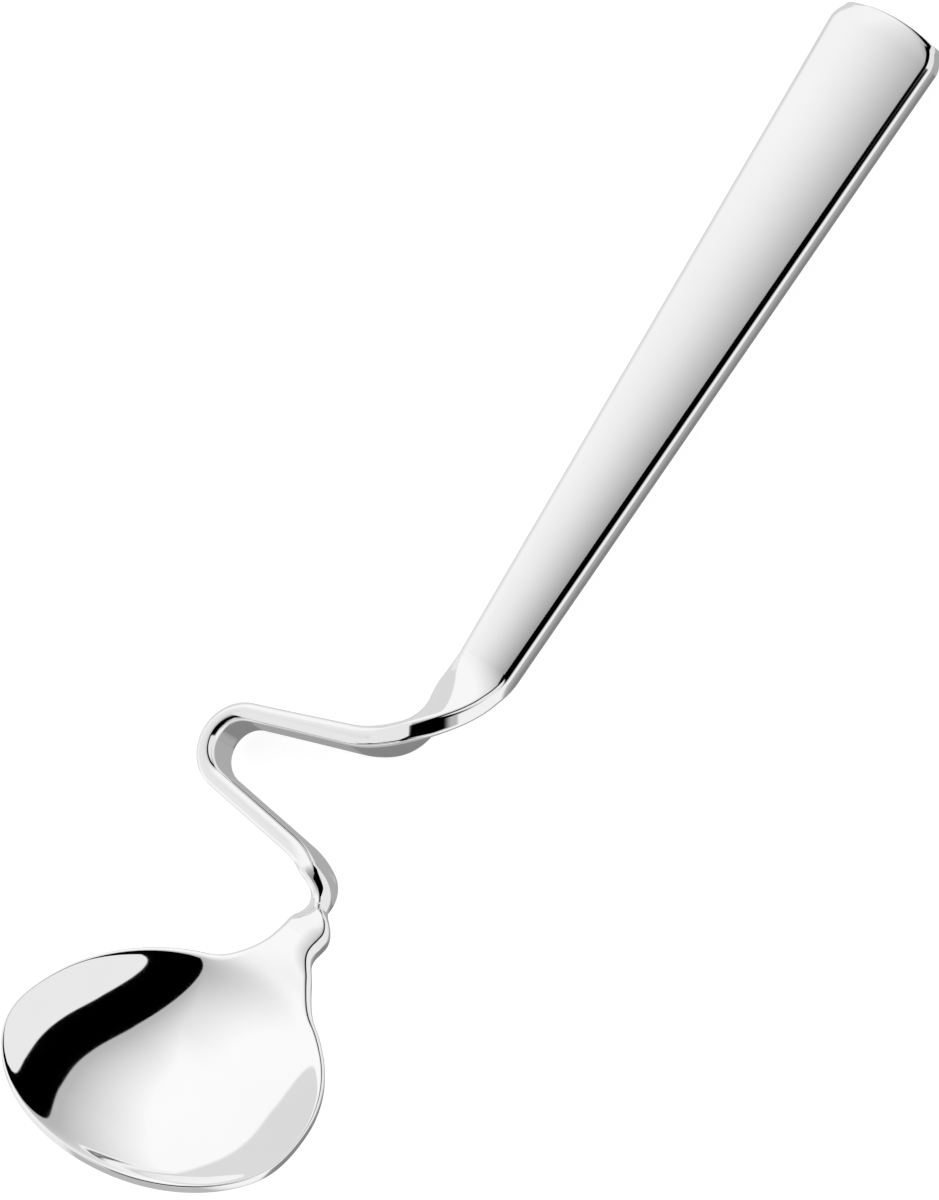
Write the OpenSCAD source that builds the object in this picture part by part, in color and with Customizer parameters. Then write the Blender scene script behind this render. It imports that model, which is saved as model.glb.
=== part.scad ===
// Honey spoon that hangs on the rim of a jar.
// A tapering handle, a flat strip twisted on edge and folded into a hook, and a round dished bowl.
// Millimetres. The handle's back and the lower edge of the hook lie on the plane z = 0.
// +X runs along the handle to its end, the origin is on the handle's back at half its length.

/* [Handle] */
// length from the neck to the end
handle_len = 84; // [72:1:110]
// width where the neck starts
handle_w_neck = 7.4; // [6.6:0.1:8.4]
// width at the end
handle_w_end = 14.7; // [12:0.1:18]
// thickness at the long edges
handle_edge_t = 2.8; // [2.6:0.1:3.6]
// how much higher the middle of the front is than its edges, as a share of half the width
handle_crown = 0.14; // [0.06:0.01:0.2]
// rounding of the long edges
handle_edge_r = 0.7; // [0.5:0.05:0.9]
// rounding of the two corners at the end
handle_corner_r = 3; // [2:0.1:5]
// how far the end bows outwards
handle_end_bow = 1; // [0.4:0.1:2]
// length over which the bow of the end fades in
handle_bow_len = 15; // [10:1:25]

/* [Neck strip] */
// width of the strip, which is its height when it stands on edge
strip_w = 5.6; // [5:0.1:6.2]
// thickness of the strip
strip_t = 2.1; // [1.8:0.1:2.4]
// rounding of the strip's edges
strip_edge_r = 0.8; // [0.6:0.05:0.85]
// how much higher the middle of the strip's face is than its edges
strip_crown = 0.12; // [0.05:0.01:0.3]
// length of the twist next to the handle
twist_top_len = 13.4; // [12:0.1:16]
// length of the twist next to the bowl
twist_low_len = 9.5; // [8.5:0.1:12]
// straight length of the strip between that twist and the bowl
twist_low_end = 2.2; // [1:0.1:3]
// length over which the handle's width runs down to the strip's
narrow_len = 10; // [8:0.5:13]
// length over which the handle's thickness runs down to the strip's
thin_len = 35; // [25:1:40]
// length over which the strip becomes the shank
shank_blend_len = 10; // [8:0.5:13]
// extra width on the inside of the twist next to the handle
web_top = 0.65; // [0.2:0.05:1]
// how much narrower the strip is at the waist of the twist next to the bowl
waist = 1.8; // [1:0.1:2.4]
// distance of the waist from the bowl
waist_at = 8.4; // [7:0.1:9.5]
// length of the lower arm over which the waist comes in
waist_len = 10.9; // [8:0.1:12]

/* [Neck bends] */
// straight length before the first bend
lead_len = 3.2; // [2:0.1:5]
// angle of the first bend
bend_top_angle = 72.5; // [66:0.5:78]
// radius of the first bend
bend_top_r = 12.1; // [10.5:0.1:14]
// length of the upper arm of the hook
arm_top_len = 13; // [11:0.1:16]
// angle of the hook
hook_angle = 156; // [148:0.5:160]
// radius of the hook
hook_r = 4.25; // [3.8:0.05:5.5]
// length of the lower arm of the hook
arm_low_len = 12.6; // [11:0.1:15]
// angle of the bend into the bowl
bend_low_angle = 79.5; // [72:0.5:86]
// radius of the bend into the bowl
bend_low_r = 11; // [10:0.1:13]
// tilt of the bowl out of the plane of the hook
bowl_tilt = 37; // [30:0.5:42]

/* [Bowl] */
// width of the shank where the neck ends
shank_w = 5.4; // [4.8:0.1:6]
// thickness of the shank
shank_t = 2.4; // [2.2:0.1:3]
// rounding of the shank's edges
shank_edge_r = 0.9; // [0.7:0.05:1]
// straight length of the shank
shank_len = 0.8; // [0.2:0.1:3]
// radius of the shoulders between the shank and the bowl
shoulder_r = 6.6; // [5:0.1:9]
// extra width of the throat on the outside of the bend
throat_fill = 1.4; // [0.5:0.1:1.8]
// length of the filled throat
throat_len = 7.4; // [6.5:0.1:11]
// width of the bowl
bowl_w = 36.2; // [32:0.1:42]
// length of the bowl's rear half
bowl_rear_len = 18.8; // [16:0.1:24]
// length of the bowl's front half
bowl_front_len = 13.2; // [11:0.1:18]
// length over which the rear oval passes into the front one
oval_blend = 6.5; // [4:0.5:9]
// depth of the dish
bowl_depth = 4.4; // [3:0.1:6]
// how much shallower the dish gets towards the tip
dish_lean = 0.525; // [0.3:0.005:0.7]
// how much deeper it stays near both ends
dish_reach = 0.466; // [0.2:0.002:0.6]
// how much flatter its floor is across
dish_flat = 0.282; // [0.1:0.002:0.4]
// how far behind the widest place its middle is
dish_back = 3.41; // [2:0.01:5]
// length over which the dish fades out towards the shank
dish_fade = 6; // [4:0.5:9]
// thickness of the bowl's wall
wall_t = 1.1; // [0.9:0.05:1.5]
// rounding of the rim
rim_r = 0.4; // [0.25:0.05:0.44]

/* [Joints] */
// radius of the spigot in the handle
spigot_top_r = 0.8; // [0.6:0.05:0.9]
// length of the spigot in the handle
spigot_top_len = 6; // [4:0.5:8]
// radius of the spigot in the shank
spigot_low_r = 0.6; // [0.5:0.05:0.7]
// length of the spigot in the shank
spigot_low_len = 4; // [3:0.5:4.5]
// radial clearance of the spigots
spigot_clear = 0.05; // [0.03:0.01:0.1]
// free depth at the bottom of the sockets
socket_spare = 0.5; // [0.3:0.1:0.6]

/* [Hidden] */
// points on each rounded corner of a section
n_corner = 4;
// points on each face of a strip section
n_strip = 5;
// points on each face of a bowl section
n_dish = 15;
// stations along the handle, the neck and the bowl
n_handle = 8;
n_neck = 80;
n_bowl = 34;
// stations round the rounded ends
n_round = 5;
// how much of an edge's rounding the ends of handle and bowl get
end_part = 0.9;
// length of a spigot inside the neck
spigot_root = 1.2;
// unit of length along the dish
dish_unit = 16;
// how softly the dish starts at the rim
dish_soft = 0.1;
$fn = 48;

// soft step from 0 to 1
function soft(t) = let (c = min(1, max(0, t))) c * c * (3 - 2 * c);
function mix(a, b, t) = a + (b - a) * t;

// Cross-section with rounded corners. The face between the corners follows a parabola
// that is "top" higher, the back one that is "low" higher in the middle than at the edges.
// It runs from the right of the back round the right edge over the face and back.
function section(half, t, r, top, low, nf) =
    let (ai = half - r, ab = -90 + atan2(-2 * low, ai), at = 90 - atan2(2 * top, ai))
    concat(
        [for (i = [0 : n_corner - 1]) let (w = ab * (1 - i / (n_corner - 1)))
            [ai + r * cos(w), r + r * sin(w)]],
        [for (i = [0 : n_corner - 1]) let (w = at * i / (n_corner - 1))
            [ai + r * cos(w), t - r + r * sin(w)]],
        [for (i = [1 : nf]) let (y = ai * (1 - 2 * i / (nf + 1)), k = -2 * top * y / (ai * ai), h = norm([k, 1]))
            [y - r * k / h, t - r + top * (1 - pow(y / ai, 2)) + r / h]],
        [for (i = [0 : n_corner - 1]) let (w = at * (1 - i / (n_corner - 1)))
            [-ai - r * cos(w), t - r + r * sin(w)]],
        [for (i = [0 : n_corner - 1]) let (w = ab * i / (n_corner - 1))
            [-ai - r * cos(w), r + r * sin(w)]],
        [for (i = [1 : nf]) let (y = -ai * (1 - 2 * i / (nf + 1)), k = -2 * low * y / (ai * ai), h = norm([k, 1]))
            [y + r * k / h, r + low * (1 - pow(y / ai, 2)) - r / h]]
    );

// Skin over a row of sections, closed at both ends.
module skin(loops, flip) {
    m = len(loops[0]);
    n = len(loops);
    half = m / 2;
    last = (n - 1) * m;
    function low(i) = (n_corner - 1 - i + m) % m;
    sides = [for (j = [0 : n - 2], i = [0 : m - 1])
        let (a = j * m + i, b = j * m + (i + 1) % m, c = b + m, d = a + m)
        each [[a, c, b], [a, d, c]]];
    start = [for (i = [0 : half - 2])
        let (a = n_corner + i, b = a + 1, c = low(i + 1), d = low(i))
        each [[a, b, c], [a, c, d]]];
    end = [for (f = start) [last + f[0], last + f[2], last + f[1]]];
    faces = concat(sides, start, end);
    polyhedron(points = [for (l = loops) each l],
        faces = flip ? [for (f = faces) [for (i = [len(f) - 1 : -1 : 0]) f[i]]] : faces, convexity = 6);
}

// handle: stations along it, the last ones round off its end
handle_round_r = end_part * handle_edge_r;
handle_at = concat(
    [for (i = [0 : n_handle]) (handle_len - handle_corner_r) * i / n_handle],
    [for (i = [1 : n_round]) handle_len - handle_corner_r
        + (handle_corner_r - handle_round_r) * sin(90 * i / (n_round + 1))],
    [for (i = [0 : n_round]) handle_len - handle_round_r * (1 - sin(90 * i / n_round))]);
function handle_half(x) =
    let (over = max(0, x - handle_len + handle_corner_r))
    mix(handle_w_neck, handle_w_end, x / handle_len) / 2
        - handle_corner_r + sqrt(max(0, pow(handle_corner_r, 2) - over * over));
function handle_inset(x) =
    let (d = max(0, x - handle_len + handle_round_r))
    handle_round_r - sqrt(max(0, pow(handle_round_r, 2) - d * d));
function handle_loop(x) =
    let (q = handle_inset(x), bow = handle_end_bow * soft((x - handle_len + handle_bow_len) / handle_bow_len))
    [for (p = section(handle_half(min(x, handle_len - handle_round_r)) - q, handle_edge_t - 2 * q,
            handle_edge_r - q, handle_crown * handle_half(min(x, handle_len - handle_round_r)), 0, n_strip))
        [x - handle_len / 2 - bow * pow(2 * p[0] / handle_w_end, 2), p[0], p[1] + q]];

// neck: it takes over the handle's taper
handle_taper = (handle_w_end - handle_w_neck) / 2 / handle_len;
// lengths along its middle line up to the end of each straight and bend
s_lead = lead_len;
s_top = s_lead + bend_top_r * bend_top_angle * PI / 180;
s_arm_top = s_top + arm_top_len;
s_hook = s_arm_top + hook_r * hook_angle * PI / 180;
s_arm_low = s_hook + arm_low_len;
s_end = s_arm_low + bend_low_r * bend_low_angle * PI / 180;
// headings of the two arms in the plane of the hook
head_top = 180 - bend_top_angle;
head_low = head_top + hook_angle;
function ahead(h) = [cos(h), sin(h), 0];
function left(h) = [-sin(h), cos(h), 0];
// places where straights and bends meet
p_lead = [-handle_len / 2, 0, 0] + lead_len * ahead(180);
c_top = p_lead - bend_top_r * left(180);
p_top = c_top + bend_top_r * left(head_top);
p_arm_top = p_top + arm_top_len * ahead(head_top);
c_hook = p_arm_top + hook_r * left(head_top);
p_hook = c_hook - hook_r * left(head_low);
p_arm_low = p_hook + arm_low_len * ahead(head_low);
// plane of the bowl: the hook's plane turned about the lower arm
bowl_up = cos(bowl_tilt) * [0, 0, 1] + sin(bowl_tilt) * left(head_low);
bowl_left = cos(bowl_tilt) * left(head_low) - sin(bowl_tilt) * [0, 0, 1];
function turned(s) = (s - s_arm_low) / bend_low_r * 180 / PI;
function path(s) =
    s < s_lead ? [-handle_len / 2, 0, 0] + s * ahead(180) :
    s < s_top ? c_top + bend_top_r * left(180 - (s - s_lead) / bend_top_r * 180 / PI) :
    s < s_arm_top ? p_top + (s - s_top) * ahead(head_top) :
    s < s_hook ? c_hook - hook_r * left(head_top + (s - s_arm_top) / hook_r * 180 / PI) :
    s < s_arm_low ? p_hook + (s - s_hook) * ahead(head_low) :
    p_arm_low + bend_low_r * (sin(turned(s)) * ahead(head_low) - (1 - cos(turned(s))) * bowl_left);
function heading(s) =
    s < s_lead ? ahead(180) :
    s < s_top ? ahead(180 - (s - s_lead) / bend_top_r * 180 / PI) :
    s < s_arm_top ? ahead(head_top) :
    s < s_hook ? ahead(head_top + (s - s_arm_top) / hook_r * 180 / PI) :
    s < s_arm_low ? ahead(head_low) :
    cos(turned(s)) * ahead(head_low) - sin(turned(s)) * bowl_left;

// the strip turns on edge after the handle and back into the bowl's plane before the shank
function on_edge(s) = soft(s / twist_top_len);
function turn_back(s) = soft((s - s_end + twist_low_end + twist_low_len) / twist_low_len);
function twist(s) = 90 * on_edge(s) - (90 + bowl_tilt) * turn_back(s) + (s > s_hook ? bowl_tilt : 0);
function narrowed(s) = soft(s / narrow_len);
function shanked(s) = soft((s - s_end + shank_blend_len) / shank_blend_len);
function strip_half(s) = mix(handle_w_neck / 2 - handle_taper * s, strip_w / 2, narrowed(s));
function neck_half(s) = strip_half(s) + (shank_w - strip_w) / 2 * shanked(s);
function neck_t(s) = mix(handle_edge_t, strip_t, soft(s / thin_len)) + (shank_t - strip_t) * shanked(s);
function neck_r(s) = mix(handle_edge_r, strip_edge_r, on_edge(s)) + (shank_edge_r - strip_edge_r) * shanked(s);
function neck_crown(s) = mix(handle_crown * strip_half(s), strip_crown, on_edge(s));
function web_top_at(s) = web_top * 4 * on_edge(s) * (1 - on_edge(s));
function waist_here(s) =
    let (d = s - s_end + waist_at) waist * soft(1 - (d > 0 ? d / waist_at : -d / waist_len));
// height of the middle line that keeps the lower edge of the turning strip on z = 0
function lift(s) =
    s > s_hook ? strip_w / 2 :
    let (w = 90 * on_edge(s), r = neck_r(s))
    (strip_half(s) + web_top_at(s) - r) * sin(w) + (neck_t(s) / 2 - r) * cos(w) + r;
function neck_loop(s) =
    let (d = heading(s), up = s > s_hook ? bowl_up : [0, 0, 1], w = twist(s),
        front = up * cos(w) + cross(d, up) * sin(w), side = cross(front, -d),
        web = web_top_at(s), less = waist_here(s), o = path(s) + [0, 0, lift(s)])
    [for (p = section(neck_half(s) + (web - less) / 2, neck_t(s), neck_r(s), neck_crown(s), 0, n_strip))
        o + (p[0] + (web + less) / 2) * side + (p[1] - neck_t(s) / 2) * front];

// place and directions of the shank's end, shared by the neck's spigot and the bowl
shank_o = path(s_end) + [0, 0, strip_w / 2];
shank_dir = heading(s_end);
shank_side = cross(bowl_up, -shank_dir);

// bowl: half its width from the shank over the shoulder and the rear to the tip
bowl_half = bowl_w / 2;
rear_k = bowl_rear_len / bowl_half;
shoulder_x = rear_k * sqrt(pow(bowl_half + shoulder_r, 2) - pow(shank_w / 2 + shoulder_r, 2));
bowl_mid = shank_len + shoulder_x;
bowl_tip = bowl_mid + bowl_front_len;
meet_x = bowl_mid - shoulder_x * bowl_half / (bowl_half + shoulder_r);
bowl_round_r = end_part * rim_r;
// square of the distance from the widest place, 1 at the rim, with the front's measure past it
function oval(x) =
    let (d = x - bowl_mid)
    d * d * mix(pow(bowl_rear_len, -2), pow(bowl_front_len, -2), soft(d / oval_blend / 2 + 0.5));
function bowl_half_at(x) =
    x < shank_len ? shank_w / 2 :
    x < meet_x ? shank_w / 2 + shoulder_r - sqrt(max(0, pow(shoulder_r, 2) - pow((x - shank_len) / rear_k, 2))) :
    bowl_half * sqrt(max(0, 1 - oval(x)));
function throat(x) =
    x > shank_len && x < shank_len + throat_len ?
        throat_fill * pow(sin(180 * (x - shank_len) / throat_len), 2) : 0;
// depth of the dish below the plane of the rim
function dish(x, y) =
    let (v = y / bowl_half, q = 1 - oval(x) - v * v, w = (x - bowl_mid + dish_back) / dish_unit)
    bowl_depth * (q + norm([q, dish_soft])) / 2 * (1 - dish_lean * w + dish_reach * w * w + dish_flat * v * v)
        * soft(x / dish_fade);
function bowl_inset(x) =
    let (d = max(0, x - bowl_tip + bowl_round_r)) bowl_round_r - sqrt(max(0, pow(bowl_round_r, 2) - d * d));
bowl_at = concat(
    [for (i = [0 : n_bowl]) (bowl_tip - bowl_round_r) * (1 - pow(1 - i / n_bowl, 1.6))],
    [for (i = [1 : n_round]) bowl_tip - bowl_round_r * (1 - sin(90 * i / (n_round + 1)))]);
function bowl_loop(x) =
    let (half = bowl_half_at(x), thin = soft(x / bowl_mid), q = bowl_inset(x), fill = throat(x),
        t = mix(shank_t, wall_t, thin), r = min(mix(shank_edge_r, rim_r, thin) - q, half / 2))
    [for (p = section(half + fill / 2, t - 2 * q, r, strip_crown * (1 - thin), 0, n_dish))
        let (y = p[0] - fill / 2)
        shank_o + x * shank_dir + y * shank_side + (p[1] + q - t / 2 - dish(x, y)) * bowl_up];

// turns a cylinder's axis from +Z to a direction
module aim(o, d) {
    translate(o) rotate([0, acos(d[2] / norm(d)), atan2(d[1], d[0])]) children();
}

// tapering handle with a flat back, a crowned front and a blind socket for the neck
module handle() {
    color([0.80, 0.80, 0.81]) difference() {
        skin([for (x = handle_at) handle_loop(x)], false);
        aim([-handle_len / 2 - socket_spare, 0, handle_edge_t / 2], [1, 0, 0])
            cylinder(r = spigot_top_r + spigot_clear, h = spigot_top_len + 2 * socket_spare);
    }
}

// twisted, hooked strip with a spigot at each end
module neck() {
    color([0.76, 0.76, 0.77]) union() {
        skin([for (i = [0 : n_neck]) neck_loop(s_end * i / n_neck)], true);
        aim([-handle_len / 2 - spigot_root, 0, handle_edge_t / 2], [1, 0, 0])
            cylinder(r = spigot_top_r, h = spigot_top_len + spigot_root);
        aim(shank_o - spigot_root * shank_dir, shank_dir)
            cylinder(r = spigot_low_r, h = spigot_low_len + spigot_root);
    }
}

// dished bowl with shoulders, a short shank and a blind socket for the neck
module bowl() {
    color([0.82, 0.82, 0.83]) difference() {
        skin([for (x = bowl_at) bowl_loop(x)], true);
        aim(shank_o - socket_spare * shank_dir, shank_dir)
            cylinder(r = spigot_low_r + spigot_clear, h = spigot_low_len + 2 * socket_spare);
    }
}

handle();
neck();
bowl();
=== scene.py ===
# %% [markdown]
# A honey spoon, dressed for a picture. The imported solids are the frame: a handle, a hooked neck
# and a bowl. They are faceted, and a mirror finish shows every facet, so each one is replaced by
# a smooth surface. Its measurements are those of the solids, apart from a few that the
# reflections asked to be a little different. Everything here is worked out in millimetres and put
# into the meshes in metres.

# %% Load the frame
import math
import bmesh
import bpy
import numpy as np
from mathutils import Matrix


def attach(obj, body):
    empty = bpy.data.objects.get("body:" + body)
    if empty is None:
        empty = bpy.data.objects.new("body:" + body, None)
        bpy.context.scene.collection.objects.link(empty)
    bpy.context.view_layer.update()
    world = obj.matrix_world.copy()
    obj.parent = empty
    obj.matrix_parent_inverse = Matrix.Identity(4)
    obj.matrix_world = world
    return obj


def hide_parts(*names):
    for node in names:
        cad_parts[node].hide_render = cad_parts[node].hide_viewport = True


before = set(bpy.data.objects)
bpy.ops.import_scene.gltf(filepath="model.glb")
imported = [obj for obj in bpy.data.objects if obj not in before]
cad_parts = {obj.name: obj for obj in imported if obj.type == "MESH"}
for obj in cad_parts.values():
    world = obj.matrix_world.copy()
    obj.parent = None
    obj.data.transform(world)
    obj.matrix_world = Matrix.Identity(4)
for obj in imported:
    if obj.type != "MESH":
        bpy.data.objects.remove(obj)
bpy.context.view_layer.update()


# %% [markdown]
# The camera comes first, because the outline was measured through it. It looks down on the spoon
# from the side of the bowl's hollow and is rolled, so that the handle runs up to the right. A
# Track To constraint could aim it, but in a matrix the roll is simply one more angle. The long
# lens keeps the handle's edges nearly parallel.

# %% Camera
VIEW_AZIMUTH = -90.72
VIEW_ELEVATION = 59.0
VIEW_ROLL = -57.0
VIEW_DISTANCE = 0.700
VIEW_TARGET = np.array([-0.03711, 0.00476, 0.00470])
VIEW_HEIGHT = 0.132
VIEW_REACH = 20
SENSOR = 36.0


def view_axes(azimuth, elevation, roll):
    """Right, up and back of a camera that looks at its target from an azimuth and an elevation,
    turned about its line of sight by roll, all in degrees."""
    a, e, r = np.radians([azimuth, elevation, roll])
    back = np.array([np.cos(e) * np.cos(a), np.cos(e) * np.sin(a), np.sin(e)])
    level = np.array([-np.sin(a), np.cos(a), 0.0])
    upright = np.cross(back, level)
    right = level * np.cos(r) + upright * np.sin(r)
    return right, np.cross(back, right), back


lens = bpy.data.cameras.new("view")
lens.sensor_fit = "VERTICAL"
lens.sensor_height = SENSOR
lens.lens = SENSOR * VIEW_DISTANCE / VIEW_HEIGHT
lens.clip_end = VIEW_REACH
camera = bpy.data.objects.new("view", lens)
bpy.context.collection.objects.link(camera)
right, up, back = view_axes(VIEW_AZIMUTH, VIEW_ELEVATION, VIEW_ROLL)
place = np.eye(4)
place[:3, 0], place[:3, 1], place[:3, 2] = right, up, back
place[:3, 3] = VIEW_TARGET + VIEW_DISTANCE * back
camera.matrix_world = place.T.tolist()
bpy.context.scene.camera = camera
print("camera at", np.round(place[:3, 3], 3), "lens", round(lens.lens, 1))

# %% [markdown]
# All three pieces change along their length without a corner, as forged and ground steel does.
# So widths, thicknesses and turns run from one value to the next by soft steps, whose slope is
# zero at both ends, and outlines are rounded by quarter circles. A smoothing modifier could do
# that too, but it would move the points where two pieces meet.

# %% Soft steps and quarter circles
JOINT_STEP = 0.02


def soft(t):
    """Soft step: 0 below 0, 1 above 1, 3t^2 - 2t^3 between."""
    t = np.clip(t, 0, 1)
    return t * t * (3 - 2 * t)


def soft_slope(t):
    """Slope of the soft step: 6t - 6t^2, and 0 outside of it."""
    t = np.clip(t, 0, 1)
    return 6 * t * (1 - t)


def mix(a, b, t):
    """a at t = 0 and b at t = 1, a straight line between."""
    return a + (b - a) * t


def round_off(over, r):
    """How far a quarter circle of radius r has dropped at a distance over from its start:
    r - sqrt(r^2 - over^2), 0 before the start and r after the end."""
    over = np.maximum(0, over)
    return r - np.sqrt(np.maximum(0, r * r - over * over))


def joint_steps(length, count):
    """Even stations from 0 to a length, with one more just after the start, so that the shading
    of two pieces that meet there agrees."""
    return np.insert(np.linspace(0, length, count), 1, JOINT_STEP)


print("soft step half way:", soft(0.5), "with slope", soft_slope(0.5))

# %% [markdown]
# Handle and neck are bars, and a bar is a row of cross-sections carried along a path. A curve
# object with a bevel profile would carry one section, but here the section changes all the way.
# So a helper works out the sections of a flat bar with rounded edges and a crowned face for a
# whole path at once.

# %% Sections of a flat bar
CORNER_POINTS = 9


def column(values):
    """One value per station as a column, which spreads over the points of each row."""
    return np.asarray(values, float)[:, None]


def bar_sections(half, thick, edge_r, crown, face_points):
    """Sections of a flat bar, one row per station: a flat back at z = 0, quarter-round edges, and
    a face whose middle is higher by the crown, a parabola moved outwards by the edge radius.
    A row runs over the face from right to left and then under the back from left to right."""
    half, thick, edge_r, crown = map(column, (half, thick, edge_r, crown))
    inner = half - edge_r
    top = math.pi / 2 - np.arctan2(2 * crown, inner)
    k = np.linspace(0, 1, CORNER_POINTS)[None]
    y_arc = inner + edge_r * np.cos(top * k)
    z_arc = thick - edge_r + edge_r * np.sin(top * k)
    y = inner * (1 - 2 * np.arange(1, face_points + 1) / (face_points + 1))[None]
    slope = -2 * crown * y / inner**2
    h = np.hypot(slope, 1)
    y_face = y - edge_r * slope / h
    z_face = thick - edge_r + crown * (1 - (y / inner) ** 2) + edge_r / h
    low = math.pi / 2 * k
    y_low = inner + edge_r * np.sin(low)
    z_low = edge_r - edge_r * np.cos(low)
    y_row = np.hstack([y_arc, y_face, -y_arc[:, ::-1], -y_low[:, ::-1], -y, y_low])
    z_row = np.hstack([z_arc, z_face, z_arc[:, ::-1], z_low[:, ::-1], 0 * y, z_low])
    return y_row, z_row


print("each edge of a section has", 2 * CORNER_POINTS, "points")

# %% [markdown]
# Rows of points become a mesh with four-sided faces between neighbouring rows. The ends are
# closed by strips from the upper half of a row to its lower half, because one face with a
# hundred corners shades badly. The normals are worked out afresh, and only edges that turn
# sharply stay hard.

# %% Rows into a closed mesh
MM_PER_M = 1000
SHARP_ANGLE = math.radians(35)
MERGE_DISTANCE = 1e-7
SLIVER_LENGTH = 1e-8


def closed_mesh(name, rows, far_end=True):
    """A closed mesh over rows of equal length (rows x points x 3, millimetres): four-sided faces
    between neighbouring rows, and strips between the upper and the lower half of the end rows.
    A far end whose row shrinks onto itself needs no strip."""
    n, m = rows.shape[:2]
    i, j = np.meshgrid(np.arange(n - 1), np.arange(m), indexing="ij")
    a = i * m + j
    b = i * m + (j + 1) % m
    sides = np.stack([a, b, b + m, a + m], axis=-1).reshape(-1, 4)
    k = np.arange(m // 2 - 1)
    strip = np.stack([k, m - 1 - k, m - 2 - k, k + 1], axis=-1)
    ends = [strip, strip[:, ::-1] + (n - 1) * m] if far_end else [strip]
    faces = np.vstack([sides, *ends])
    mesh = bpy.data.meshes.new(name)
    mesh.from_pydata((rows.reshape(-1, 3) / MM_PER_M).tolist(), [], faces.tolist())
    piece = bpy.data.objects.new(name, mesh)
    bpy.context.collection.objects.link(piece)
    return piece


def finish_mesh(piece):
    """Merges doubled points, turns all faces outwards and shades smooth, with hard ends."""
    mesh = piece.data
    work = bmesh.new()
    work.from_mesh(mesh)
    bmesh.ops.remove_doubles(work, verts=work.verts, dist=MERGE_DISTANCE)
    bmesh.ops.dissolve_degenerate(work, edges=work.edges, dist=SLIVER_LENGTH)
    bmesh.ops.recalc_face_normals(work, faces=work.faces)
    open_edges = sum(not edge.is_manifold for edge in work.edges)
    work.to_mesh(mesh)
    work.free()
    mesh.polygons.foreach_set("use_smooth", [True] * len(mesh.polygons))
    mesh.set_sharp_from_angle(angle=SHARP_ANGLE)
    print(piece.name, len(mesh.polygons), "faces,", open_edges, "open edges")


print("edges over", round(math.degrees(SHARP_ANGLE)), "degrees stay hard")

# %% [markdown]
# The handle is a long taper with a flat back and a slightly crowned front. Its long edges are
# rounded, and so are the two corners of its end, which bows outwards a little. A cube with a
# Bevel modifier would give even roundings, but not the crown, which draws the long bright and
# dark lines. So it is a bar. Its sections shrink inwards over the last half millimetre or so,
# which rounds the end's own edges.

# %% Handle
HANDLE_LEN = 84.0
HANDLE_W_NECK = 7.4
HANDLE_W_END = 14.7
HANDLE_EDGE_T = 2.8
HANDLE_CROWN = 0.133
HANDLE_EDGE_R = 0.7
HANDLE_CORNER_R = 2.5
HANDLE_END_R = 0.9 * HANDLE_EDGE_R
HANDLE_END_BOW = 1.0
HANDLE_BOW_LEN = 15.0
HANDLE_STEPS, CORNER_STEPS, END_STEPS = 120, 26, 10
HANDLE_FACE_POINTS = 31
TAPER = (HANDLE_W_END - HANDLE_W_NECK) / 2 / HANDLE_LEN


def handle_stations():
    """Stations from the neck to the end: even steps, then the sine of even angles over each of
    the corner's and the end's quarter circles, so that they crowd where the outline turns."""
    corner_at = HANDLE_LEN - HANDLE_CORNER_R
    end_at = HANDLE_LEN - HANDLE_END_R
    corner = np.sin(np.linspace(0, math.pi / 2, CORNER_STEPS)[1:-1])
    end = np.sin(np.linspace(0, math.pi / 2, END_STEPS))
    return np.concatenate([joint_steps(corner_at, HANDLE_STEPS),
                           corner_at + (HANDLE_CORNER_R - HANDLE_END_R) * corner,
                           end_at + HANDLE_END_R * end])


def handle_rows():
    """The half width grows in a straight line, less a quarter circle at the corner; at the end the
    section shrinks by a quarter circle too, and x is set back by the square of the distance from
    the middle line, which bows the end."""
    x = handle_stations()
    x_side = np.minimum(x, HANDLE_LEN - HANDLE_END_R)
    half = HANDLE_W_NECK / 2 + TAPER * x_side
    half = half - round_off(x_side - HANDLE_LEN + HANDLE_CORNER_R, HANDLE_CORNER_R)
    shrink = round_off(x - HANDLE_LEN + HANDLE_END_R, HANDLE_END_R)
    y, z = bar_sections(half - shrink, HANDLE_EDGE_T - 2 * shrink, HANDLE_EDGE_R - shrink,
                        HANDLE_CROWN * half, HANDLE_FACE_POINTS)
    bow = HANDLE_END_BOW * soft((x - HANDLE_LEN + HANDLE_BOW_LEN) / HANDLE_BOW_LEN)
    x_row = column(x - HANDLE_LEN / 2) - column(bow) * (2 * y / HANDLE_W_END) ** 2
    return np.stack([x_row, y, z + column(shrink)], axis=-1)


handle = closed_mesh("handle_polished", handle_rows())
finish_mesh(handle)

# %% [markdown]
# The neck is one flat strip. Next to the handle it turns on edge while it bends to the side, runs
# out, folds back round a small radius and comes back: that fold hangs on the rim of a jar. Then
# it turns flat again while it bends into the bowl, whose plane is tilted out of the hook's plane.
# A curve could be drawn by hand, but such a strip is bent round pins. So the middle line is a row
# of straights and arcs, each with its length, or its angle and radius.

# %% Neck: measures and directions
STRIP_W = 5.6
LEAD_LEN = 3.2
BEND_TOP_ANGLE, BEND_TOP_R = 72.5, 12.1
ARM_TOP_LEN = 13.0
HOOK_ANGLE, HOOK_R = 156.0, 4.25
ARM_LOW_LEN = 12.76
BEND_LOW_ANGLE, BEND_LOW_R = 79.5, 10.72
BOWL_TILT = 37.0
UP = np.array([0.0, 0.0, 1.0])
HEAD_START = 180.0
HEAD_TOP = HEAD_START - BEND_TOP_ANGLE
HEAD_LOW = HEAD_TOP + HOOK_ANGLE


def rows_of(*vectors):
    """Puts a number of arrays of coordinates side by side as rows of vectors."""
    return np.stack(np.broadcast_arrays(*vectors), axis=-1)


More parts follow.
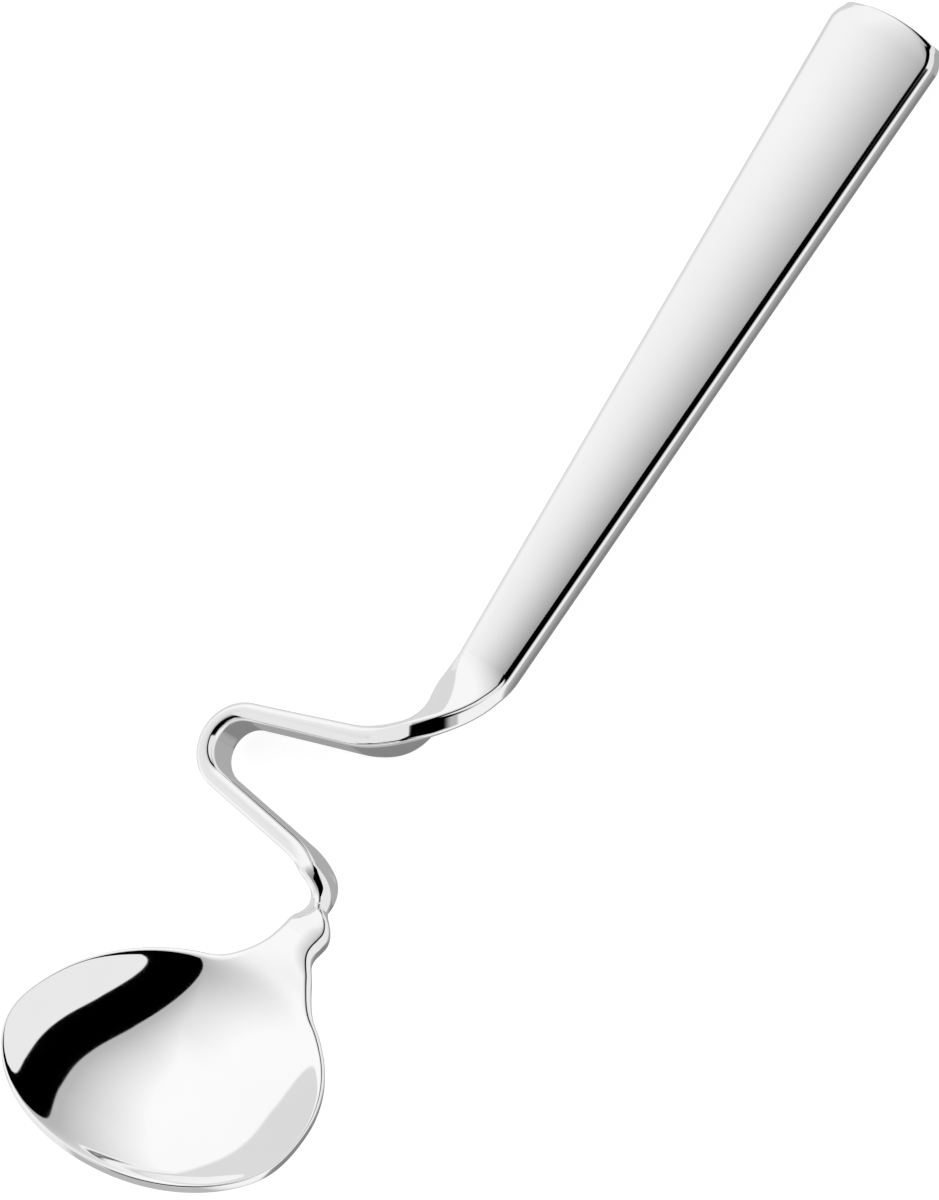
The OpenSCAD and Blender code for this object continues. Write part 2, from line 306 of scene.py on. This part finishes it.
def ahead(heading):
    """Unit vector in the hook's plane at a heading in degrees."""
    w = np.radians(heading)
    return rows_of(np.cos(w), np.sin(w), 0 * w)


def left_of(heading):
    """Unit vector in the hook's plane to the left of a heading in degrees."""
    w = np.radians(heading)
    return rows_of(-np.sin(w), np.cos(w), 0 * w)


tilt = math.radians(BOWL_TILT)
bowl_up = math.cos(tilt) * UP + math.sin(tilt) * left_of(HEAD_LOW)
bowl_left = math.cos(tilt) * left_of(HEAD_LOW) - math.sin(tilt) * UP
print("the neck's arms head", HEAD_TOP, "and", HEAD_LOW, "degrees; bowl's up", np.round(bowl_up, 3))

# %% Neck: the middle line
S_LEAD = LEAD_LEN
S_TOP = S_LEAD + BEND_TOP_R * math.radians(BEND_TOP_ANGLE)
S_ARM_TOP = S_TOP + ARM_TOP_LEN
S_HOOK = S_ARM_TOP + HOOK_R * math.radians(HOOK_ANGLE)
S_ARM_LOW = S_HOOK + ARM_LOW_LEN
S_END = S_ARM_LOW + BEND_LOW_R * math.radians(BEND_LOW_ANGLE)


def middle_line(s):
    """Places and directions at lengths s along the neck: straight, arc to the right, straight,
    arc to the left, straight, and an arc to the right in the bowl's plane."""
    start = np.array([-HANDLE_LEN / 2, 0, 0])
    p_lead = start + LEAD_LEN * ahead(HEAD_START)
    c_top = p_lead - BEND_TOP_R * left_of(HEAD_START)
    p_top = c_top + BEND_TOP_R * left_of(HEAD_TOP)
    p_arm = p_top + ARM_TOP_LEN * ahead(HEAD_TOP)
    c_hook = p_arm + HOOK_R * left_of(HEAD_TOP)
    p_hook = c_hook - HOOK_R * left_of(HEAD_LOW)
    p_low = p_hook + ARM_LOW_LEN * ahead(HEAD_LOW)
    h_top = HEAD_START - np.degrees(np.clip(s - S_LEAD, 0, S_TOP - S_LEAD) / BEND_TOP_R)
    h_hook = h_top + np.degrees(np.clip(s - S_ARM_TOP, 0, S_HOOK - S_ARM_TOP) / HOOK_R)
    turn = column(np.maximum(s - S_ARM_LOW, 0) / BEND_LOW_R)
    run = column(s)
    places = [
        start + run * ahead(HEAD_START),
        c_top + BEND_TOP_R * left_of(h_top),
        p_top + (run - S_TOP) * ahead(HEAD_TOP),
        c_hook - HOOK_R * left_of(h_hook),
        p_hook + (run - S_HOOK) * ahead(HEAD_LOW),
        p_low + BEND_LOW_R * (np.sin(turn) * ahead(HEAD_LOW) - (1 - np.cos(turn)) * bowl_left)]
    stretch = np.searchsorted([S_LEAD, S_TOP, S_ARM_TOP, S_HOOK, S_ARM_LOW], s)
    place = np.stack(places)[stretch, np.arange(len(s))]
    low = np.cos(turn) * ahead(HEAD_LOW) - np.sin(turn) * bowl_left
    return place, np.where(run > S_ARM_LOW, low, ahead(h_hook))


print("neck", round(S_END, 1), "mm along its middle line")

# %% [markdown]
# The strip's section changes along that line: it starts as the handle's small end and ends as
# the bowl's shank. A twist in flat stock pulls its edges, so the strip has a web on its lower edge
# at the upper twist, and a waist, cut into its other edge, at the lower twist. Both give the black
# reflections there their form of a lens.

# %% Neck: the strip's measures
STRIP_T = 2.1
STRIP_EDGE_R = 0.8
STRIP_CROWN = 0.12
TWIST_TOP_LEN = 15.5
NARROW_LEN, THIN_LEN = 10.0, 35.0
SHANK_BLEND_LEN = 10.0
WEB_TOP = 1.1
WAIST = 2.1
WAIST_AT = 5.6
WAIST_RUN_IN, WAIST_RUN_OUT = 4.6, 4.5
SHANK_W, SHANK_T, SHANK_EDGE_R = 5.4, 2.4, 0.9


def on_edge(s):
    """How far the strip has turned on edge at lengths s: a soft step over the upper twist."""
    return soft(s / TWIST_TOP_LEN)


def strip_half_width(s):
    """Half the strip's width without its web and waist: the handle's taper carried on, which runs
    into the strip's own width by a soft step."""
    return mix(HANDLE_W_NECK / 2 - TAPER * s, STRIP_W / 2, soft(s / NARROW_LEN))


def strip_measures(s):
    """Half width, thickness, edge radius and crown at lengths s: from the handle's to the strip's
    and on to the shank's, each by soft steps."""
    edge = on_edge(s)
    shank = soft((s - S_END + SHANK_BLEND_LEN) / SHANK_BLEND_LEN)
    half = strip_half_width(s) + (SHANK_W - STRIP_W) / 2 * shank
    thick = mix(HANDLE_EDGE_T, STRIP_T, soft(s / THIN_LEN)) + (SHANK_T - STRIP_T) * shank
    edge_r = mix(HANDLE_EDGE_R, STRIP_EDGE_R, edge) + (SHANK_EDGE_R - STRIP_EDGE_R) * shank
    crown = mix(HANDLE_CROWN * strip_half_width(s), STRIP_CROWN, edge)
    return half, thick, edge_r, crown


def web_and_waist(s):
    """Metal added to the lower edge and taken from the other one. The web is 4e(1 - e) of the
    upper twist's turn e, so it is widest half way; the waist is a soft bump with a run-in and a
    run-out of its own."""
    edge = on_edge(s)
    off = s - S_END + WAIST_AT
    waist = WAIST * soft(1 - np.where(off > 0, off / WAIST_RUN_OUT, -off / WAIST_RUN_IN))
    return WEB_TOP * 4 * edge * (1 - edge), waist


print("strip", STRIP_W, "x", STRIP_T, "mm, shank", SHANK_W, "x", SHANK_T, "mm")

# %% [markdown]
# Now the sections are turned about the middle line and put on it. The spoon lies on a table, so
# up to the hook each section is lifted until its lower edge touches the table. Past the hook the
# height stays, and the lower twist lifts the bowl's side off the table.

# %% Neck: the strip on its path
TWIST_LOW_LEN = 9.5
TWIST_LOW_END = 1.0
QUARTER_TURN = 90
NECK_STEPS = 560
NECK_FACE_POINTS = 13


def strip_axes(s, direction):
    """Side and front of the section at lengths s. The front starts upright, turns by a quarter on
    edge, and turns back by a quarter and the bowl's tilt; past the hook the turn is counted from
    the bowl's own up."""
    past = s > S_HOOK
    low_twist = soft((s - S_END + TWIST_LOW_END + TWIST_LOW_LEN) / TWIST_LOW_LEN)
    turn = QUARTER_TURN * on_edge(s) - (QUARTER_TURN + BOWL_TILT) * low_twist
    turn = column(np.radians(turn + np.where(past, BOWL_TILT, 0)))
    over = np.where(past[:, None], bowl_up, UP)
    front = over * np.cos(turn) + np.cross(direction, over) * np.sin(turn)
    return np.cross(front, -direction), front


def neck_rows():
    """The strip's section at each station, moved sideways by half of the web and the waist, on
    the middle line lifted by the height of the turned section's middle over its lower edge, and
    past the hook by half the strip's width."""
    s = np.insert(joint_steps(S_END, NECK_STEPS), -1, S_END - JOINT_STEP)
    place, direction = middle_line(s)
    half, thick, edge_r, crown = strip_measures(s)
    web, waist = web_and_waist(s)
    side, front = strip_axes(s, direction)
    turned = math.pi / 2 * on_edge(s)
    lift = (strip_half_width(s) + web - edge_r) * np.sin(turned)
    lift = lift + (thick / 2 - edge_r) * np.cos(turned) + edge_r
    lift = np.where(s > S_HOOK, STRIP_W / 2, lift)
    y, z = bar_sections(half + (web - waist) / 2, thick, edge_r, crown, NECK_FACE_POINTS)
    y = y + column(web + waist) / 2
    z = z - column(thick) / 2
    middle = place + column(lift) * UP
    return middle[:, None] + y[..., None] * side[:, None] + z[..., None] * front[:, None]


neck = closed_mesh("neck_polished", neck_rows())
finish_mesh(neck)

# %% [markdown]
# The bowl is a shallow dish on a short shank. It could be a squashed half sphere joined to a bar,
# but a seam at the shoulders would break every reflection that crosses it. So one grid covers
# it all, and the outline comes first: a soft oval that is longer behind than in front, and on each
# side an arc from the oval to the shank. The arc is wider on the near side, and a little metal
# fills the throat there.

# %% Bowl: the outline
SHANK_LEN = 1.0
SHOULDER_R = 6.6
NEAR_SHOULDER_R, NEAR_SHOULDER_BLEND = 12.0, 4.0
THROAT_FILL, THROAT_LEN = 0.65, 11.0
BOWL_W = 36.2
BOWL_HALF = BOWL_W / 2
BOWL_REAR_LEN, BOWL_FRONT_LEN = 18.8, 13.2
OVAL_BLEND = 13.0
REAR_K = BOWL_REAR_LEN / BOWL_HALF


def shoulder_run(r):
    """Distance from the bowl's middle back to where a shoulder arc of radius r leaves the shank: a
    right-angled triangle between the circle of the oval and that of the arc, stretched as the
    oval is."""
    return REAR_K * math.sqrt((BOWL_HALF + r) ** 2 - (SHANK_W / 2 + r) ** 2)


BOWL_MID = SHANK_LEN + shoulder_run(SHOULDER_R)
BOWL_TIP = BOWL_MID + BOWL_FRONT_LEN


def oval(x):
    """Square of the distance from the bowl's middle in units of its length, and its slope: the
    rear length and the front length change over by a soft step on the inverse squares."""
    d = x - BOWL_MID
    t = d / OVAL_BLEND + 0.5
    rear, front = BOWL_REAR_LEN**-2, BOWL_FRONT_LEN**-2
    k = mix(rear, front, soft(t))
    return d * d * k, 2 * d * k + d * d * (front - rear) * soft_slope(t) / OVAL_BLEND


def half_outline(x, r):
    """Half the bowl's width at x: the shank, an arc of radius r that touches the shank and the
    oval, stretched as the oval is, and the oval."""
    run = shoulder_run(r)
    meet = BOWL_MID - run * BOWL_HALF / (BOWL_HALF + r)
    arc = SHANK_W / 2 + round_off((x - BOWL_MID + run) / REAR_K, r)
    return np.where(x < meet, arc, BOWL_HALF * np.sqrt(np.maximum(0, 1 - oval(x)[0])))


def near_outline(x):
    """Half the width on the near side: the wider arc, which sets in by a soft step, and a squared
    sine that fills the throat."""
    wide = half_outline(x, NEAR_SHOULDER_R)
    half = mix(half_outline(x, SHOULDER_R), wide, soft(x / NEAR_SHOULDER_BLEND))
    return half + THROAT_FILL * np.sin(math.pi * np.clip(x / THROAT_LEN, 0, 1)) ** 2


print("bowl", BOWL_W, "mm wide, its tip", round(BOWL_TIP, 1), "mm from the neck")

# %% [markdown]
# Inside that outline lies the dish. Sculpting or a smoothed grid could give its form, but a mirror
# shows each unevenness, so it is a formula, and its slopes come from the same formula. It is
# deepest towards the shank, and its floor is nearly flat. At the rim it ends by a change of slope,
# which is soft at the shank, sharp along the sides, and a little softer again at the tip, where a
# sharp one would mirror the dish in itself.

# %% Bowl: the dish
BOWL_DEPTH = 4.4
DISH_LEAN, DISH_REACH, DISH_FLAT = -0.525, 0.466, 0.282
DISH_BACK, DISH_UNIT = 3.41, 16.0
DISH_FADE = 6.0
EASE_REAR, EASE_RIM, EASE_TIP = 0.16, 0.03, 0.11
EASE_TIP_LEN = 6.2


def rim_ease(x):
    """How softly the dish ends at the rim, and the slope of that along x: a soft step from the
    rear's value to the rim's, and another one up to the tip's."""
    rear, tip = x / BOWL_MID, (x - BOWL_TIP) / EASE_TIP_LEN + 1
    ease = mix(EASE_REAR, EASE_RIM, soft(rear)) + (EASE_TIP - EASE_RIM) * soft(tip)
    slope = (EASE_RIM - EASE_REAR) * soft_slope(rear) / BOWL_MID
    return ease, slope + (EASE_TIP - EASE_RIM) * soft_slope(tip) / EASE_TIP_LEN


def dish(x, y):
    """Height of the wall's middle and its two slopes. The soft positive part of the oval's
    1 - u^2 - v^2 is zero at the rim; times minus the depth and a plain quadric, which moves the
    deepest place to the rear and flattens the floor, it is the dish. It fades in at the shank."""
    v = y / BOWL_HALF
    u2, u2_slope = oval(x)
    q = 1 - u2 - v * v
    ease, ease_x = rim_ease(x)
    root = np.sqrt(q * q + ease * ease)
    inside, grow = (q + root) / 2, (1 + q / root) / 2
    w = (x - BOWL_MID + DISH_BACK) / DISH_UNIT
    form = 1 + DISH_LEAN * w + DISH_REACH * w * w + DISH_FLAT * v * v
    form_x = (DISH_LEAN + 2 * DISH_REACH * w) / DISH_UNIT
    form_y = 2 * DISH_FLAT * v / BOWL_HALF
    fade, fade_x = soft(x / DISH_FADE), soft_slope(x / DISH_FADE) / DISH_FADE
    z = -BOWL_DEPTH * inside * form
    z_x = BOWL_DEPTH * ((grow * u2_slope - ease * ease_x / root / 2) * form - inside * form_x)
    z_y = BOWL_DEPTH * (grow * 2 * v / BOWL_HALF * form - inside * form_y)
    return z * fade, z_x * fade + z * fade_x, z_y * fade


print("dish", round(-float(dish(BOWL_MID, 0.0)[0]), 2), "mm deep under its middle")

# %% [markdown]
# The wall has a face and a back, which are the dish moved up and down along its normals, and a
# small round rim between them. A Solidify modifier would leave a square rim. So the rim is an arc
# about a line just inside the outline, and it turns from the face's normal to the back's.

# %% Bowl: the rim
WALL_T = 1.1
RIM_R = 0.15


def rim_line(u, x, edge_r, width, sign):
    """Inner line of the rim on one side, and the outline's normal: the outline moved inwards along
    its normal by the edge radius. The normal points straight to the side at the shank and
    straight ahead at the tip."""
    nx, ny = -np.gradient(width, u), sign * np.gradient(x, u)
    size = np.hypot(nx, ny)
    nx, ny = nx / size, ny / size
    nx[0], ny[0] = 0, sign
    nx[-1], ny[-1] = 1, 0
    return x - edge_r * nx, np.where(u < 1, sign * width - edge_r * ny, 0), nx, ny


def rim_arc(foot, normal, slopes, gap, edge_r):
    """Points round the rim, two arcs about its inner line for each row: from the face's normal to
    the outline's, and, lower by the flat between them, from there to the back's normal."""
    nx, ny = map(column, normal)
    face_slope, back_slope = map(column, slopes)
    t = np.linspace(0, 1, CORNER_POINTS)[None]
    turn = np.hstack([(math.pi / 2 + np.arctan(face_slope)) * (1 - t),
                      (-math.pi / 2 + np.arctan(back_slope)) * t])
    x, y, z = map(column, foot)
    z = z + np.hstack([gap + 0 * t, -gap + 0 * t])
    return np.stack([x + edge_r * np.cos(turn) * nx, y + edge_r * np.cos(turn) * ny,
                     z + edge_r * np.sin(turn)], -1)


print("wall", WALL_T, "mm thick, rim rounded by", RIM_R, "mm")

# %% Bowl: the wall
BOWL_STEPS = 420
BOWL_FACE_POINTS = 65
TINY = 1e-9


def bowl_rows():
    """Rows across the bowl in its own x, y, z, from the shank to the tip, where they crowd because
    x goes by 1 - (1 - u)^2. Face and back are the dish moved along its normals, and at the
    shank the face also has the strip's crown, a parabola."""
    u = np.insert(np.linspace(0, 1, BOWL_STEPS), 1, JOINT_STEP / 2 / BOWL_TIP)
    x = BOWL_TIP * (1 - (1 - u) ** 2)
    thin = soft(x / BOWL_MID)
    r = mix(SHANK_EDGE_R, RIM_R, thin)
    xl, yl, *normal_l = rim_line(u, x, r, half_outline(x, SHOULDER_R), 1)
    xr, yr, *normal_r = rim_line(u, x, r, near_outline(x), -1)
    k = np.linspace(0, 1, BOWL_FACE_POINTS)[None]
    xf = mix(column(xl), column(xr), k)
    yf = mix(column(yl), column(yr), k)
    zf, sx, sy = dish(xf, yf)
    gap = column(mix(SHANK_T, WALL_T, thin) / 2 - r)
    r, crown = column(r), column(STRIP_CROWN * (1 - thin))
    sc = sy + 4 * crown * (2 * k - 1) / column(yl - yr + TINY)
    h_face = np.sqrt(1 + sx * sx + sc * sc)
    h_back = np.sqrt(1 + sx * sx + sy * sy)
    z_face = zf + gap + crown * (1 - (2 * k - 1) ** 2)
    face = np.stack([xf - r * sx / h_face, yf - r * sc / h_face, z_face + r / h_face], -1)
    under = np.stack([xf + r * sx / h_back, yf + r * sy / h_back, zf - gap - r / h_back], -1)

    def rim(at, normal):
        """The rim's arcs at one end of the rows, with the slopes along the outline's normal."""
        nx, ny = normal
        slopes = sx[:, at] * nx + sc[:, at] * ny, sx[:, at] * nx + sy[:, at] * ny
        return rim_arc((xf[:, at], yf[:, at], zf[:, at]), normal, slopes, gap, r)

    left, right = rim(0, normal_l)[:, ::-1], rim(-1, normal_r)
    n = CORNER_POINTS
    return np.concatenate([left[:, n:], face[:, 1:-1], right, under[:, -2:0:-1], left[:, :n]], axis=1)


end_place, end_direction = middle_line(np.array([S_END]))
shank_start = end_place[0] + STRIP_W / 2 * UP
shank_ahead = end_direction[0]
bowl_axes = np.stack([shank_ahead, np.cross(bowl_up, -shank_ahead), bowl_up])
bowl = closed_mesh("bowl_polished", shank_start + bowl_rows() @ bowl_axes, far_end=False)
finish_mesh(bowl)

# %% [markdown]
# The finish is worked out by shader nodes. Wiring them one by one hides what they calculate, so a
# small class wraps a node's output, and sums and products of such outputs can be written as in
# any formula.

# %% Shader maths as expressions
class Socket:
    """One output of a shader node. Sums, differences and products of sockets and numbers add the
    Math nodes that work them out; any other node is made by the method node."""

    def __init__(self, tree, out=None):
        self.tree, self.out = tree, out

    def node(self, kind, settings, sockets, out=0):
        """A node of a kind: its settings first, then values or links for its sockets."""
        made = self.tree.nodes.new(kind)
        for key, value in settings.items():
            setattr(made, key, value)
        for key, value in sockets.items():
            if isinstance(value, Socket):
                self.tree.links.new(value.out, made.inputs[key])
            else:
                made.inputs[key].default_value = value
        return Socket(self.tree, made.outputs[out])

    def math(self, operation, a, b):
        """A Math node: one operation on two sockets or numbers."""
        return self.node("ShaderNodeMath", {"operation": operation}, {0: a, 1: b})

    def __add__(self, other):
        return self.math("ADD", self, other)

    __radd__ = __add__

    def __sub__(self, other):
        return self.math("SUBTRACT", self, other)

    def __rsub__(self, other):
        return self.math("SUBTRACT", other, self)

    def __mul__(self, other):
        return self.math("MULTIPLY", self, other)

    __rmul__ = __mul__


def new_material(name):
    """An empty material, its shader and the start of an expression."""
    material = bpy.data.materials.new(name)
    material.use_nodes = True
    tree = material.node_tree
    return material, tree.nodes["Principled BSDF"], Socket(tree)


print("formulas of sockets may use +, - and *")

# %% [markdown]
# All three pieces are stainless steel polished to a mirror. A metal of one even roughness looks
# like plastic film, so the finish has the faint traces that a polishing mop leaves: streaks in
# one direction that change the roughness a little and lift the surface by almost nothing, and a
# slow cloud in the tint. Scratches could be painted in an image, but noise stretched along the
# piece needs none and has no end.

# %% Polished steel
STREAK_NOISE = {"Scale": 1.0, "Detail": 3.0, "Roughness": 0.6}
STREAK_ROUGHNESS = 0.03
STREAK_BUMP = {"Strength": 0.02, "Distance": 0.00001}
CLOUD_NOISE = {"Scale": 60.0, "Detail": 2.0}
CLOUD_SHADE = 0.94
MIX_FROM, MIX_TO, MIX_COLOUR = 6, 7, 2


def polished_steel(name, tint, grain, roughness):
    """Mirror-polished steel: streaks of noise stretched by the grain's three scales, a slow cloud
    that shifts the tint, and a roughness above its base where the streaks are bright. A Mix
    node's colour sockets go by their number, because their names come up more than once."""
    material, shader, s = new_material(name)
    where = s.node("ShaderNodeTexCoord", {}, {}, "Object")
    along = s.node("ShaderNodeMapping", {}, {"Vector": where, "Scale": grain})
    streak = s.node("ShaderNodeTexNoise", {}, {"Vector": along, **STREAK_NOISE})
    cloud = s.node("ShaderNodeTexNoise", {}, {"Vector": where, **CLOUD_NOISE})
    shaded = tuple(CLOUD_SHADE * v for v in tint)
    colour = s.node("ShaderNodeMix", {"data_type": "RGBA"},
                    {"Factor": cloud, MIX_FROM: (*shaded, 1), MIX_TO: (*tint, 1)}, MIX_COLOUR)
    rough = roughness + STREAK_ROUGHNESS * streak
    bump = s.node("ShaderNodeBump", {}, {**STREAK_BUMP, "Height": streak})
    shader.inputs["Metallic"].default_value = 1.0
    for key, value in (("Base Color", colour), ("Roughness", rough), ("Normal", bump)):
        s.tree.links.new(value.out, shader.inputs[key])
    return material


print("streaks add up to", STREAK_ROUGHNESS, "to the roughness")

# %% [markdown]
# Each piece gets a steel of its own, because the mop runs along the handle, round the neck and
# across the bowl. Their tints also differ as painted light: the one steel is painted lightest on the
# bowl and darkest on the handle, so that the bowl's reflections come out brighter. Then the piece
# is tied to the frame: it stands for a solid, moves with the spoon's only body and takes its finish.

# %% Put the finish on and tie the pieces to the frame
# The tints are one steel painted lighter or darker: lightest on the bowl and darkest on the handle, a
# painted brightness of the reflections.
FINISHES_AND_PAINTED_BRIGHTNESS = {
    "handle": (handle, (0.925, 0.925, 0.93), (60.0, 3000.0, 3000.0), 0.03),
    "neck": (neck, (0.95, 0.95, 0.955), (400.0, 400.0, 1500.0), 0.03),
    "bowl": (bowl, (0.975, 0.975, 0.98), (900.0, 300.0, 900.0), 0.02)}
for node, (piece, tint, grain, rough) in FINISHES_AND_PAINTED_BRIGHTNESS.items():
    piece.data.materials.append(polished_steel("polished_steel_" + node, tint, grain, rough))
    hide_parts(node)
    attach(piece, "root")
print("finished:", list(FINISHES_AND_PAINTED_BRIGHTNESS))

# %% [markdown]
# Polished steel has hardly a look of its own: what shows in it is the room. The set is what is
# built for cutlery, a white sheet under the spoon inside a tent of white cloth. The sheet is white
# to the lens by a glow of its own and takes the spoon's soft shadow. It is hidden from the
# steel's reflections, where a white floor would lay a grey crescent over the bowl. The steel
# mirrors the lower cloths of the tent instead.

# %% White sheet
SHEET_SIZE = 0.6
SHEET_Z = -0.0002
SHEET_GREY = 0.5
SHEET_GLOW = 0.82


def sheet_paper():
    """White paper: it scatters light, and towards the lens it glows by itself."""
    material, shader, s = new_material("white_sheet")
    lens_ray = s.node("ShaderNodeLightPath", {}, {}, "Is Camera Ray")
    shader.inputs["Base Color"].default_value = (SHEET_GREY, SHEET_GREY, SHEET_GREY, 1)
    shader.inputs["Roughness"].default_value = 1.0
    shader.inputs["Specular IOR Level"].default_value = 0.0
    shader.inputs["Emission Strength"].default_value = 1.0
    s.tree.links.new((SHEET_GLOW * lens_ray).out, shader.inputs["Emission Color"])
    return material


def white_sheet():
    """A square that lies flat, just under the table's height, with its middle under the view's."""
    mesh = bpy.data.meshes.new("white_sheet")
    h = SHEET_SIZE / 2
    mesh.from_pydata([(-h, -h, 0), (h, -h, 0), (h, h, 0), (-h, h, 0)], [], [(0, 1, 2, 3)])
    mesh.materials.append(sheet_paper())
    sheet = bpy.data.objects.new("white_sheet", mesh)
    sheet.location = (VIEW_TARGET[0], VIEW_TARGET[1], SHEET_Z)
    sheet.visible_glossy = False
    bpy.context.collection.objects.link(sheet)


white_sheet()
print("sheet", SHEET_SIZE, "m wide")

# %% [markdown]
# The tent could be built from planes and area lamps, but then each edge would have to be placed in
# the room. As the world it needs only directions. Each cloth is a cap of the sky, all directions
# within some angle of its middle, or a side of it. Soft steps on the dot product of the direction
# with that middle cut the cloths out, and the brightest one wins where two overlap. What no cloth
# covers stays dark. The dark slit between the back cloth and the front cloth is what draws the
# black band in the bowl and the black line along the handle.

# %% Light tent: where the cloths hang
# Middles are an azimuth and an elevation in degrees, edges and sides the two ends of a soft step.
BACK_MIDDLE, BACK_EDGE = (86.9, 20.15), (0.283, 0.287)
EDGE_FADE, EDGE_GREY = (0.31, 0.52), 0.5
GLOW_MIDDLE, GLOW_FADE = (60.0, 30.0), (0.14, 0.94)
ROOF_START = (0.40, 0.70)
TABLE_MIDDLE, TABLE_EDGE, TABLE_DARK = (85.0, -13.0), (0.775, 0.795), 0.26
LEFT_MIDDLE, LEFT_EDGE, LEFT_GREY = (130.0, 25.0), (0.72, 0.76), 0.86
FRONT_MIDDLE, FRONT_EDGE, FRONT_GREY = (84.8, 27.7), (0.108, 0.112), 0.86
FRONT_SIDE = (0.05, 0.15)
LOW_TOP, LOW_SIDE, LOW_GREY = (-0.4, -0.2), (0.15, 0.4), 0.50
NEAR_SIDE, NEAR_TOP, NEAR_GREY = (0.3, 0.6), (-0.2, 0.0), 0.95
FAR_SIDE, FAR_TOP, FAR_GREY = (0.3, 0.5), (0.0, 0.2), 0.86
SIDE_MIDDLE, SIDE_EDGE, SIDE_GREY = (-152.0, 5.0), (0.88, 0.96), 0.7
GROUND_EDGE, GROUND_DARK = (0.78, 0.84), 0.5


def along(sky, axis):
    """How far the sky's direction goes along an axis: their dot product."""
    return sky.node("ShaderNodeVectorMath", {"operation": "DOT_PRODUCT"}, {0: sky, 1: axis}, "Value")


def facing(sky, azimuth, elevation):
    """How far the sky's direction goes towards an azimuth and an elevation in degrees: the cosine
    of the angle between them."""
    a, e = math.radians(azimuth), math.radians(elevation)
    return along(sky, (math.cos(e) * math.cos(a), math.cos(e) * math.sin(a), math.sin(e)))


def rise(value, ends, kind="SMOOTHSTEP"):
    """0 below the first end, 1 above the second, a soft step or a straight line between."""
    return value.node("ShaderNodeMapRange", {"interpolation_type": kind},
                      {"Value": value, "From Min": ends[0], "From Max": ends[1]})


back_reach = math.degrees(math.acos(BACK_EDGE[0]))
print("the back cloth reaches", round(back_reach), "degrees from its middle")

# %% [markdown]
# The cloths differ, because each leaves its own mark in the steel. The back cloth is bright, with
# a greyer edge and roof, which shade the handle from one long edge to the other, and its foot
# near the table is a little darker. To the lens the world is plain white, so that no view shows
# where the sheet ends.

# %% Light tent: the cloths
def back_cloth(sky, table, up):
    """The large cloth behind the spoon: white, fading to grey in a straight line towards its edge
    and, high up, away from the glow's middle; the darker of the two holds."""
    behind = facing(sky, *BACK_MIDDLE)
    glow = EDGE_GREY + (1 - EDGE_GREY) * rise(behind, EDGE_FADE, "LINEAR")
    roof = 1 - rise(up, ROOF_START) * (1 - rise(facing(sky, *GLOW_MIDDLE), GLOW_FADE, "LINEAR"))
    return sky.math("MINIMUM", glow, roof) * table * rise(behind, BACK_EDGE)


def tent_cloths(sky):
    """The brightest of the cloths at each direction, darker straight below. The lower cloths hang
    only on the bowl's side and fade out towards the handle's end."""
    to_end, to_lens, down = (along(sky, axis) for axis in ((1, 0, 0), (0, -1, 0), (0, 0, -1)))
    table = 1 - TABLE_DARK * rise(facing(sky, *TABLE_MIDDLE), TABLE_EDGE)
    bowl_side = 1 - rise(to_end, LOW_SIDE)
    past_slit = 1 - rise(facing(sky, *FRONT_MIDDLE), FRONT_EDGE)
    cloth = back_cloth(sky, table, 0 - down)
    for other in (
            LEFT_GREY * rise(facing(sky, *LEFT_MIDDLE), LEFT_EDGE),
            FRONT_GREY * past_slit * rise(to_end, FRONT_SIDE),
            LOW_GREY * rise(down, LOW_TOP) * bowl_side,
            NEAR_GREY * rise(to_lens, NEAR_SIDE) * rise(down, NEAR_TOP) * bowl_side,
            FAR_GREY * table * rise(0 - to_lens, FAR_SIDE) * rise(down, FAR_TOP) * bowl_side,
            SIDE_GREY * rise(facing(sky, *SIDE_MIDDLE), SIDE_EDGE)):
        cloth = sky.math("MAXIMUM", cloth, other)
    return cloth * (1 - GROUND_DARK * rise(down, GROUND_EDGE))


def light_tent():
    """The world: the tent's cloths, and white to the lens."""
    world = bpy.data.worlds.new("light_tent")
    world.use_nodes = True
    s = Socket(world.node_tree)
    cloth = tent_cloths(s.node("ShaderNodeTexCoord", {}, {}, "Generated"))
    lens_ray = s.node("ShaderNodeLightPath", {}, {}, "Is Camera Ray")
    shade = world.node_tree.nodes["Background"]
    s.tree.links.new(s.math("MAXIMUM", cloth, lens_ray).out, shade.inputs["Color"])
    shade.inputs["Strength"].default_value = 1.0
    return world


bpy.context.scene.world = light_tent()
print("tent with", len(bpy.context.scene.world.node_tree.nodes), "nodes")

# %% [markdown]
# The picture is shown by the plain Standard view, in which a colour comes out as it is written.

# %% Picture
bpy.context.scene.view_settings.view_transform = "Standard"
